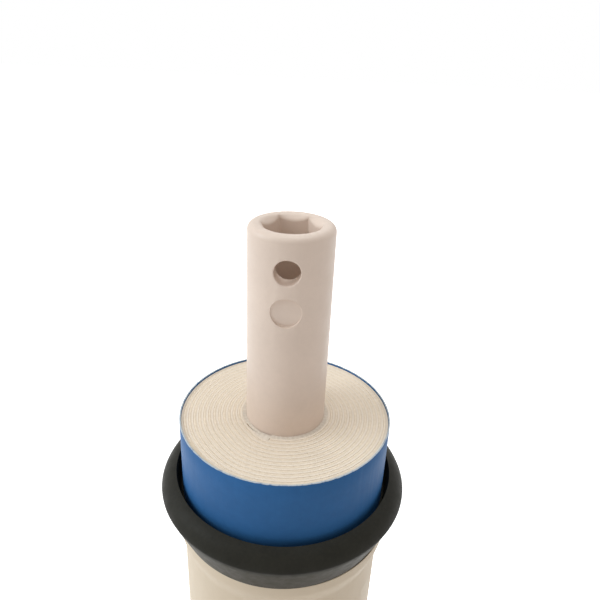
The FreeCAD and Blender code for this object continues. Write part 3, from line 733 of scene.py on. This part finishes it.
class MEMBRANE_OT_tube(Dresser):
    """Turn the permeate tube, cut its socket, holes and mark, and round its edges"""
    bl_idname = "membrane.tube"
    bl_label = "Permeate tube"
    # Shares of the largest rounding: at the outlet, at the mark, at the hole, in the socket.
    AT_OUTLET, AT_MARK, AT_HOLE, IN_SOCKET = 0.25, 0.35, 0.7, 0.4

    def execute(self, context):
        tube = context.scene.membrane_tube
        foot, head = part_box("membrane_leaf")
        feed_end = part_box("permeate_tube")[1]
        top, radius = feed_end.z, feed_end.x
        piece = turn_piece("tube_moulding", self.outline(tube, top, radius, head.z), TUBE_SIDES)
        self.clear_sides(piece, tube, top)
        for cutter in self.cutters(tube, top, radius, foot.z, head.z):
            cut_away(piece, cutter)
        round_edges(piece, tube.edge, 3, lambda place: self.softness(tube, top, head.z, place))
        smooth(piece, 32.0)
        even_normals(piece)
        dress(piece, moulded_plastic(tube), "tube_plastic", "permeate_tube")
        return self.finish("tube finished")

    def outline(self, tube, top, radius, head):
        """Half the tube's section, from the web's lower face out and round to the feed end."""
        web = top - tube.web_foot
        points = [(0.0, web), (tube.bore, web), (tube.bore, tube.outlet_depth),
                  (tube.outlet, tube.outlet_depth), (tube.outlet, 0.0),
                  (radius - tube.chamfer, 0.0), (radius, tube.chamfer)]
        for ring in ("outlet_ring_lower", "outlet_ring_upper"):
            low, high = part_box(ring)
            height = (low.z + high.z) / 2
            points += [(radius, height - tube.groove), (tube.groove_foot, height - tube.groove),
                       (tube.groove_foot, height + tube.groove), (radius, height + tube.groove)]
        mark, hole = top - tube.mark_drop, top - tube.hole_drop
        loops = (head, mark - tube.mark - MM, (mark + hole) / 2, hole + tube.hole + 0.5 * MM)
        points += [(radius, height) for height in loops]
        centre = (radius - tube.rounding, top - tube.rounding)
        points += [(centre[0] + tube.rounding * math.cos(math.radians(15 * k)),
                    centre[1] + tube.rounding * math.sin(math.radians(15 * k))) for k in range(7)]
        return points + [(0.0, top)]

    def clear_sides(self, piece, tube, top):
        """Dissolve the upright edges that would graze the sides of the hole and the mark."""
        choose(piece)
        bpy.ops.object.mode_set(mode="EDIT")
        bpy.ops.mesh.select_mode(type="EDGE")
        bpy.ops.mesh.select_all(action="DESELECT")
        mesh = bmesh.from_edit_mesh(piece.data)
        for edge in mesh.edges:
            one, two = (vertex.co for vertex in edge.verts)
            place = (one + two) / 2
            if abs(one.z - two.z) < MM or math.hypot(place.x, place.y) < tube.bore + MM:
                continue
            for drop, reach, back in ((tube.hole_drop, tube.hole, True),
                                      (tube.mark_drop, tube.mark, False)):
                beside = 0.8 * reach < abs(place.x) < reach + 0.35 * MM
                level = abs(place.z - top + drop) < reach + 0.6 * MM
                if beside and level and (back or place.y < 0.0):
                    edge.select_set(True)
        bmesh.update_edit_mesh(piece.data)
        bpy.ops.mesh.dissolve_edges(use_verts=False)
        bpy.ops.mesh.select_mode(type="VERT")
        bpy.ops.object.mode_set(mode="OBJECT")

    def cutters(self, tube, top, radius, foot, head):
        """The shapes that the socket, the holes and the mark are cut with."""
        reach = 30 * MM
        corner, bar = tube.flats / math.sqrt(3), tube.socket + reach
        yield cutter(6, corner, bar, (0.0, 0.0, top - tube.socket + bar / 2), spin=30.0)
        clear_selection()
        mouth = tube.flats / 2 + tube.lead
        bpy.ops.mesh.primitive_cone_add(
            vertices=TUBE_SIDES, radius1=tube.flats / 2 - tube.lead, radius2=mouth + tube.lead,
            depth=3 * tube.lead, location=(0.0, 0.0, top - tube.lead / 2))
        yield bpy.context.object
        side = (math.pi / 2, 0.0, 0.0)
        yield cutter(96, tube.hole, 4 * radius, (0.0, 0.0, top - tube.hole_drop), side)
        floor = radius - tube.mark_depth
        yield cutter(96, tube.mark, reach, (0.0, -floor - reach / 2, top - tube.mark_drop), side)
        pitch = (head - foot - 2 * tube.inlet_margin) / (tube.inlets - 0.5)
        for row, turn in enumerate((side, (math.pi / 2, 0.0, math.pi / 2))):
            for index in range(tube.inlets):
                height = foot + tube.inlet_margin + (index + row / 2) * pitch
                yield cutter(20, tube.inlet, 4 * radius, (0.0, 0.0, height), turn)

    def softness(self, tube, top, head, place):
        """The share of the largest rounding that an edge gets."""
        if tube.chamfer * 2 < place.z < head:
            return 0.0
        if place.z < head:
            return self.AT_OUTLET
        mark = Vector((place.x, 0.0, place.z - top + tube.mark_drop))
        if mark.length < tube.mark * 1.2 and place.y < -tube.flats / 2:
            return self.AT_MARK
        hole = Vector((place.x, 0.0, place.z - top + tube.hole_drop))
        if hole.length < tube.hole * 1.2 and abs(place.y) > tube.flats / 2 + MM:
            return self.AT_HOLE
        return 1.0 if place.z > top - 2.5 * tube.lead else self.IN_SOCKET


def cutter(sides, radius, depth, place, turn=(0.0, 0.0, 0.0), spin=0.0):
    """A round or many-sided bar to cut with, turned about its own axis by spin degrees."""
    clear_selection()
    bpy.ops.mesh.primitive_cylinder_add(vertices=sides, radius=radius, depth=depth, location=place,
                                        rotation=(turn[0], turn[1], turn[2] + math.radians(spin)))
    return bpy.context.object


class MEMBRANE_OT_rings(Dresser):
    """Give the two O-rings of the outlet end their rubber"""
    bl_idname = "membrane.rings"
    bl_label = "Outlet O-rings"

    def execute(self, context):
        rubber = ring_rubber(context.scene.membrane_tube)
        for node in ("outlet_ring_lower", "outlet_ring_upper"):
            repaint(node, rubber)
        return self.finish("O-rings finished")


def soft_section(inner, outer, low, high, soft):
    """The section of a wound sheet with its four corners cut."""
    return [(inner, low + soft), (inner + soft, low), (outer - soft, low), (outer, low + soft),
            (outer, high - soft), (outer - soft, high), (inner + soft, high), (inner, high - soft)]


def roll_sizes(roll):
    """Heights, radii and walls of the wound layers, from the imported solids."""
    low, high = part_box("membrane_leaf")
    carrier_pitch = roll.carrier_wall + roll.gap
    leaf_start = roll.tube + roll.gap + roll.carrier_turns * carrier_pitch
    layers = 2 * roll.leaf_turns - 1
    crest = max(-low.x, high.x, -low.y, high.y)
    wall = (crest - leaf_start + roll.gap) / layers - roll.gap
    return {
        "foot": low.z, "head": high.z, "crest": crest, "wall": wall, "pitch": 2 * (wall + roll.gap),
        "leaf": leaf_start, "spacer": leaf_start + wall + roll.gap,
        "carrier": roll.tube + roll.gap, "carrier_pitch": carrier_pitch,
    }


class MEMBRANE_OT_carrier(Dresser):
    """Wind the first turns of carrier cloth on the tube"""
    bl_idname = "membrane.carrier"
    bl_label = "Carrier wrap"

    def execute(self, context):
        roll = context.scene.membrane_roll
        size = roll_sizes(roll)
        inner, outer = size["carrier"], size["carrier"] + roll.carrier_wall
        points = soft_section(inner, outer, size["foot"], size["head"], 0.05 * MM)
        piece = wind_piece("carrier_wrap", points, roll, (inner + outer) / 2,
                           size["carrier_pitch"], roll.carrier_turns, roll.stride)
        smooth(piece)
        cloth = carrier_cloth(roll)
        dress(piece, cloth, "carrier_net", "carrier_core_wrap")
        tail = self.fold_tail(roll, size)
        smooth(tail)
        paint(tail, cloth)
        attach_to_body(tail, "root")
        return self.finish("carrier wound")

    def fold_tail(self, roll, size):
        """The carrier's tail, folded into the wedge where the leaf starts."""
        radius, middle = size["leaf"] - roll.gap, size["leaf"] - roll.gap / 2
        steps = 12
        end = roll.start - 0.11 * MM / radius
        inside = [polar(radius, end)]
        inside += [polar(radius, roll.start - roll.ramp * k / steps) for k in range(1, steps)]
        outside = []
        place = polar(middle, roll.start - roll.ramp)
        for centre, sweep, _ in climb_arcs(roll, middle, size["pitch"]):
            for k in range(1, steps // 2 + 1):
                turn = Matrix.Rotation(sweep * k / (steps // 2), 3, "Z")
                outside.append(centre + turn @ (place - centre))
            place = outside[-1]
        rim = outside[1:-1] + [polar(radius + size["pitch"] - roll.gap, end)]
        foot, top = size["foot"] + 2 * roll.recess, size["head"] - 3 * roll.recess
        lift = Vector((0.0, 0.0, foot))
        piece = draw_chain("carrier_tail", [point + lift for point in rim + inside[:-1]])
        bpy.ops.mesh.edge_face_add()
        rise = top - foot
        bpy.ops.mesh.extrude_region_move(TRANSFORM_OT_translate={"value": (0.0, 0.0, rise)})
        return close_up(piece)


class MEMBRANE_OT_leaf(Dresser):
    """Wind the leaf, its carrier ending a little below its two membrane plies"""
    bl_idname = "membrane.leaf"
    bl_label = "Membrane leaf"

    def execute(self, context):
        roll = context.scene.membrane_roll
        size = roll_sizes(roll)
        inner, wall = size["leaf"], size["wall"]
        soft, slope = 0.03 * MM, 0.02 * MM
        low, high = size["foot"], size["head"]
        ends = []
        for level, inward in ((low, 1.0), (high, -1.0)):
            shelf = level + inward * roll.recess
            ends.append([
                (inner, level + inward * soft), (inner + soft, level),
                (inner + roll.ply - slope, level), (inner + roll.ply + slope, shelf),
                (inner + wall - roll.ply - slope, shelf), (inner + wall - roll.ply + slope, level),
                (inner + wall - soft, level), (inner + wall, level + inward * soft),
            ])
        points = ends[0] + ends[1][::-1]
        piece = wind_piece("wound_leaf", points, roll, inner + wall / 2, size["pitch"],
                           roll.leaf_turns, roll.stride)
        core = piece.data.attributes.new("core", "FLOAT", "POINT")
        shelves = (low + roll.recess, high - roll.recess)
        core.data.foreach_set("value", [
            1.0 if min(abs(vertex.co.z - shelf) for shelf in shelves) < soft / 4 else 0.0
            for vertex in piece.data.vertices])
        smooth(piece, 50.0)
        dress(piece, membrane_cloth(roll), "membrane", "membrane_leaf")
        return self.finish("leaf wound")


class MEMBRANE_OT_spacer(Dresser):
    """Wind the net spacer between the leaf's turns and notch its ends between the strands"""
    bl_idname = "membrane.spacer"
    bl_label = "Feed spacer"

    def execute(self, context):
        roll = context.scene.membrane_roll
        size = roll_sizes(roll)
        swell = 0.4 * roll.gap
        inner, wall = size["spacer"] - swell, size["wall"] + 2 * swell
        pitch, soft = size["pitch"], 0.06 * MM
        low, high = size["foot"] + roll.sunk, size["head"] - roll.sunk
        points = soft_section(inner, inner + wall, low, high, soft)
        piece = wind_piece("wound_spacer", points, roll, inner + wall / 2, pitch,
                           roll.leaf_turns - 1, roll.strand / 4)
        self.notch_ends(piece, roll, inner, pitch, low + soft, high - soft)
        smooth(piece, 50.0)
        dress(piece, spacer_net(roll), "spacer_net", "feed_spacer")
        return self.finish("spacer wound")

    def notch_ends(self, piece, roll, inner, pitch, low, high):
        """Lower the sheet's ends between the strands, and mark how deep they lie."""
        deep = piece.data.attributes.new("deep", "FLOAT", "POINT")
        depths = []
        for vertex in piece.data.vertices:
            x, y, z = vertex.co
            angle = (math.atan2(y, x) - roll.start) % math.tau
            turn = round((math.hypot(x, y) - inner - pitch * angle / math.tau) / pitch)
            station = angle * (inner + pitch * turn) + turn * 0.37 * roll.strand
            depth = 0.5 - 0.5 * math.cos(math.tau * station / roll.strand)
            at_end = z <= low + WELD or z >= high - WELD
            depths.append(depth if at_end else 0.0)
            if at_end:
                vertex.co.z += roll.notch * depth * (1.0 if z < (low + high) / 2 else -1.0)
        deep.data.foreach_set("value", depths)


class MEMBRANE_OT_glue(Dresser):
    """Give the bead at the leaf's outer end its amber glue"""
    bl_idname = "membrane.glue"
    bl_label = "End glue"

    def execute(self, context):
        repaint("end_glue_bead", cured_glue(context.scene.membrane_roll))
        return self.finish("glue finished")


class MEMBRANE_OT_tape(Dresser):
    """Wrap the blue tape round the roll, its free end lapped over the turn below"""
    bl_idname = "membrane.tape"
    bl_label = "Blue tape"

    def execute(self, context):
        tape = context.scene.membrane_tape
        low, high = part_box("tape_wrap")
        outer = high.x
        inner = outer - tape.wall
        edge = tape.edge
        points = [(inner, low.z), (outer - edge, low.z), (outer, low.z + edge),
                  (outer, high.z - 4 * MM), (outer, high.z - edge),
                  (outer - edge * 0.3, high.z - edge * 0.3), (outer - edge, high.z),
                  (inner + edge, high.z), (inner, high.z - edge)]
        piece = turn_piece("tape_film_wrap", points, TAPE_SIDES, tape.seam)
        lap_film(piece, tape.seam, tape.lap, (inner + outer) / 2)
        smooth(piece, 25.0)
        dress(piece, tape_film(tape, high.z, outer), "blue_tape", "tape_wrap")
        return self.finish("tape wrapped")


def lap_film(piece, seam, lap, middle):
    """Draw the outer wall in by the lap just past the seam, growing back over one turn."""
    for vertex in piece.data.vertices:
        x, y, _ = vertex.co
        radius = math.hypot(x, y)
        if radius < middle:
            continue
        turn = ((math.atan2(y, x) - seam) % math.tau) / math.tau
        turn = turn if turn < 1 - 1e-5 else 0.0
        inset = lap * (1.0 - turn) if turn > 1e-5 else 0.0
        vertex.co.x *= (radius - inset) / radius
        vertex.co.y *= (radius - inset) / radius


class MEMBRANE_OT_seal(Dresser):
    """Turn the rubber brine seal with its flared lip"""
    bl_idname = "membrane.seal"
    bl_label = "Brine seal"

    def execute(self, context):
        seal = context.scene.membrane_seal
        low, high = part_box("brine_seal")
        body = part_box("tape_wrap")[1].x
        rim_height = high.z - seal.drop
        bore, rim = body + seal.play, high.x
        floor = high.z - seal.groove
        foot = low.z + seal.band_height
        mouth = (body + seal.mouth, high.z)
        points = [(bore, low.z), (bore + seal.band, low.z), (bore + seal.band, foot),
                  (body + seal.skirt, foot)]
        points += rounded_run((body + seal.skirt, foot), (rim, rim_height - seal.land), 6)
        points += [(rim, rim_height - 0.75 * seal.land), (rim, rim_height - 0.25 * seal.land)]
        points += crown_run((rim - 0.03 * MM, rim_height + 0.05 * MM), mouth, seal.crown, 9)
        points += [(bore + seal.floor + 0.12 * MM, floor + 0.5 * MM),
                   (bore + seal.floor, floor + 0.15 * MM), (bore + seal.floor * 0.6, floor),
                   (bore, floor)]
        piece = turn_piece("seal_moulding", points, WRAP_SIDES)
        smooth(piece, 40.0)
        dress(piece, moulded_rubber(seal), "seal_rubber", "brine_seal")
        return self.finish("seal turned")


def rounded_run(first, last, steps):
    """Points of a straight run, without its two ends."""
    return [(first[0] + (last[0] - first[0]) * k / steps,
             first[1] + (last[1] - first[1]) * k / steps) for k in range(1, steps)]


def crown_run(first, last, radius, steps):
    """Points of a convex arc that bulges out and up, both ends included."""
    start, end = Vector(first), Vector(last)
    chord = end - start
    inward = Vector((-chord.y, chord.x)).normalized()
    rise = math.sqrt(radius ** 2 - chord.length ** 2 / 4)
    centre = (start + end) / 2 + inward * rise
    one, two = start - centre, end - centre
    sweep = math.atan2(one.x * two.y - one.y * two.x, one.dot(two))
    begin = math.atan2(one.y, one.x)
    return [(centre.x + radius * math.cos(begin + sweep * k / steps),
             centre.y + radius * math.sin(begin + sweep * k / steps)) for k in range(steps + 1)]


class MEMBRANE_OT_label(Dresser):
    """Wrap the bare white label round the roll and up onto the seal"""
    bl_idname = "membrane.label"
    bl_label = "Label wrap"

    def execute(self, context):
        label = context.scene.membrane_label
        low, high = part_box("label_wrap")
        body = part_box("tape_wrap")[1].x
        rest = body + label.play
        lap = high.x - label.wall
        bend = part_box("brine_seal")[0].z - label.play
        foot = bend - label.fall
        wall = label.wall
        edge = 0.05 * MM
        points = [(rest, low.z), (rest + wall - edge, low.z), (rest + wall, low.z + edge)]
        points += rounded_run((rest + wall, low.z + edge), (rest + wall, foot - MM), 24)
        start, climb = foot - MM, bend - foot + 1.6 * MM
        points += [(rest + wall + (lap - rest) * share_of(k / 10), start + climb * k / 10)
                   for k in range(11)]
        points += [(lap + wall, high.z - edge), (lap + wall - edge, high.z), (lap, high.z),
                   (lap, bend), (rest, foot)]
        piece = turn_piece("label_film", points, WRAP_SIDES, label.seam)
        lap_film(piece, label.seam, label.lap, rest + wall * 0.5)
        self.loosen(piece, label, high.z)
        smooth(piece, 25.0)
        dress(piece, bare_vinyl(label, high.x), "white_label", "label_wrap")
        return self.finish("label wrapped")

    def loosen(self, piece, label, top):
        """Let the upper edge stand off the seal on one side, as a hand-wrapped film does."""
        for vertex in piece.data.vertices:
            x, y, z = vertex.co
            level = 1.0 - (top - z) / label.loose_height
            side = math.cos(math.atan2(y, x) - label.loose_side)
            if level > 0.0 and side > 0.0:
                shift = 1.0 + label.loose * side ** 2 * level ** 1.6 / math.hypot(x, y)
                vertex.co.x, vertex.co.y = x * shift, y * shift


def share_of(step):
    """A smooth share from 0 to 1."""
    return step * step * (3.0 - 2.0 * step)


class MEMBRANE_OT_stage(Dresser):
    """Set the floor, the soft lights, the white surroundings and the camera"""
    bl_idname = "membrane.stage"
    bl_label = "Stage"

    def execute(self, context):
        stage = context.scene.membrane_stage
        self.lay_floor(stage)
        self.light(context, stage)
        self.set_camera(context, stage)
        context.scene.view_settings.view_transform = "Standard"
        return self.finish("stage set")

    def lay_floor(self, stage):
        """A wide white floor that keeps the element's shadow."""
        clear_selection()
        bpy.ops.mesh.primitive_plane_add(size=FLOOR_WIDTH, location=AXIS)
        floor = bpy.context.object
        floor.name = floor.data.name = "floor"
        material, graph, surface = new_material("floor_paper", 0.0)
        paper = drifting(graph, stage.paper, 0.01, 4.0)
        graph.tree.links.new(paper, surface.inputs["Base Color"])
        surface.inputs["Roughness"].default_value = 0.9
        seen = seen_rays(graph)
        white = graph.add("ShaderNodeEmission", in_Color=(1.0, 1.0, 1.0, 1.0),
                          in_Strength=graph.math("MULTIPLY", seen, 0.8))
        both = graph.add("ShaderNodeAddShader", in_0=surface.outputs[0], in_1=white.outputs[0])
        output = next(node for node in graph.tree.nodes if node.type == "OUTPUT_MATERIAL")
        graph.tree.links.new(both.outputs[0], output.inputs["Surface"])
        paint(floor, material)

    def light(self, context, stage):
        """Soft lamps at the left and above, and surroundings that look white."""
        top = Vector((0.0, 0.0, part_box("tape_wrap")[1].z))
        for name, offset, size, power in LAMPS:
            clear_selection()
            bpy.ops.object.light_add(type="AREA", location=top + Vector(offset))
            lamp = bpy.context.object
            lamp.name = lamp.data.name = name
            lamp.data.shape = "DISK"
            lamp.data.size = size
            lamp.data.energy = getattr(stage, power)
            lamp.data.color = stage.day
            lamp.rotation_euler = (-Vector(offset)).to_track_quat("-Z", "Y").to_euler()
        world = bpy.data.worlds.new("surroundings")
        world.use_nodes = True
        context.scene.world = world
        graph = Graph(world.node_tree)
        seen = seen_rays(graph)
        colour = graph.blend(seen, stage.warmth, (1.0, 1.0, 1.0))
        strength = graph.span(seen, 0.0, 1.0, stage.ambient, 1.0)
        sky = graph.add("ShaderNodeBackground", in_Color=colour, in_Strength=strength)
        output = graph.add("ShaderNodeOutputWorld")
        graph.tree.links.new(sky.outputs[0], output.inputs["Surface"])

    def set_camera(self, context, stage):
        """Stand the camera in front of the feed end, looking down on it."""
        clear_selection()
        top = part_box("tape_wrap")[1].z
        yaw, pitch = stage.yaw - stage.round, stage.pitch
        sight = Vector((math.sin(yaw) * math.cos(pitch), math.cos(yaw) * math.cos(pitch),
                        -math.sin(pitch)))
        place = Vector((stage.away * math.sin(stage.round), -stage.away * math.cos(stage.round),
                        top + stage.above))
        bpy.ops.object.camera_add(location=place)
        camera = bpy.context.object
        camera.name = camera.data.name = "camera"
        camera.data.lens = stage.lens
        camera.data.clip_start = 0.005
        turn = sight.to_track_quat("-Z", "Y").to_matrix()
        right = turn.col[0] * math.cos(stage.roll) + turn.col[1] * math.sin(stage.roll)
        up = turn.col[1] * math.cos(stage.roll) - turn.col[0] * math.sin(stage.roll)
        turn.col[0], turn.col[1] = right, up
        camera.rotation_euler = turn.to_euler()
        context.scene.camera = camera


def seen_rays(graph):
    """1 for the rays that look at the surroundings, straight, by gloss or through glass."""
    rays = graph.add("ShaderNodeLightPath").outputs
    seen = graph.math("MAXIMUM", rays["Is Camera Ray"], rays["Is Glossy Ray"])
    return graph.math("MAXIMUM", seen, rays["Is Transmission Ray"])


STEPS = (MEMBRANE_OT_tube, MEMBRANE_OT_rings, MEMBRANE_OT_carrier, MEMBRANE_OT_leaf,
         MEMBRANE_OT_spacer, MEMBRANE_OT_glue, MEMBRANE_OT_tape, MEMBRANE_OT_seal,
         MEMBRANE_OT_label, MEMBRANE_OT_stage)
SETTINGS = {
    "membrane_tube": TubeSettings, "membrane_roll": RollSettings, "membrane_tape": TapeSettings,
    "membrane_seal": SealSettings, "membrane_label": LabelSettings,
    "membrane_stage": StageSettings,
}


class MEMBRANE_PT_panel(bpy.types.Panel):
    """Lists the pieces and their sizes"""
    bl_idname = "MEMBRANE_PT_panel"
    bl_label = "Membrane element"
    bl_space_type = "VIEW_3D"
    bl_region_type = "UI"
    bl_category = "Membrane"

    def draw(self, context):
        for step in STEPS:
            self.layout.operator(step.bl_idname)
        for name in SETTINGS:
            settings = getattr(context.scene, name)
            column = self.layout.column()
            for key in settings.__annotations__:
                column.prop(settings, key)


def register():
    for kind in (*SETTINGS.values(), *STEPS, MEMBRANE_PT_panel):
        bpy.utils.register_class(kind)
    for name, kind in SETTINGS.items():
        setattr(bpy.types.Scene, name, PointerProperty(type=kind))


def unregister():
    for name in SETTINGS:
        delattr(bpy.types.Scene, name)
    for kind in (MEMBRANE_PT_panel, *reversed(STEPS), *SETTINGS.values()):
        bpy.utils.unregister_class(kind)


def main():
    register()
    for step in STEPS:
        family, action = step.bl_idname.split(".")
        getattr(getattr(bpy.ops, family), action)()


if __name__ == "__main__":
    main()
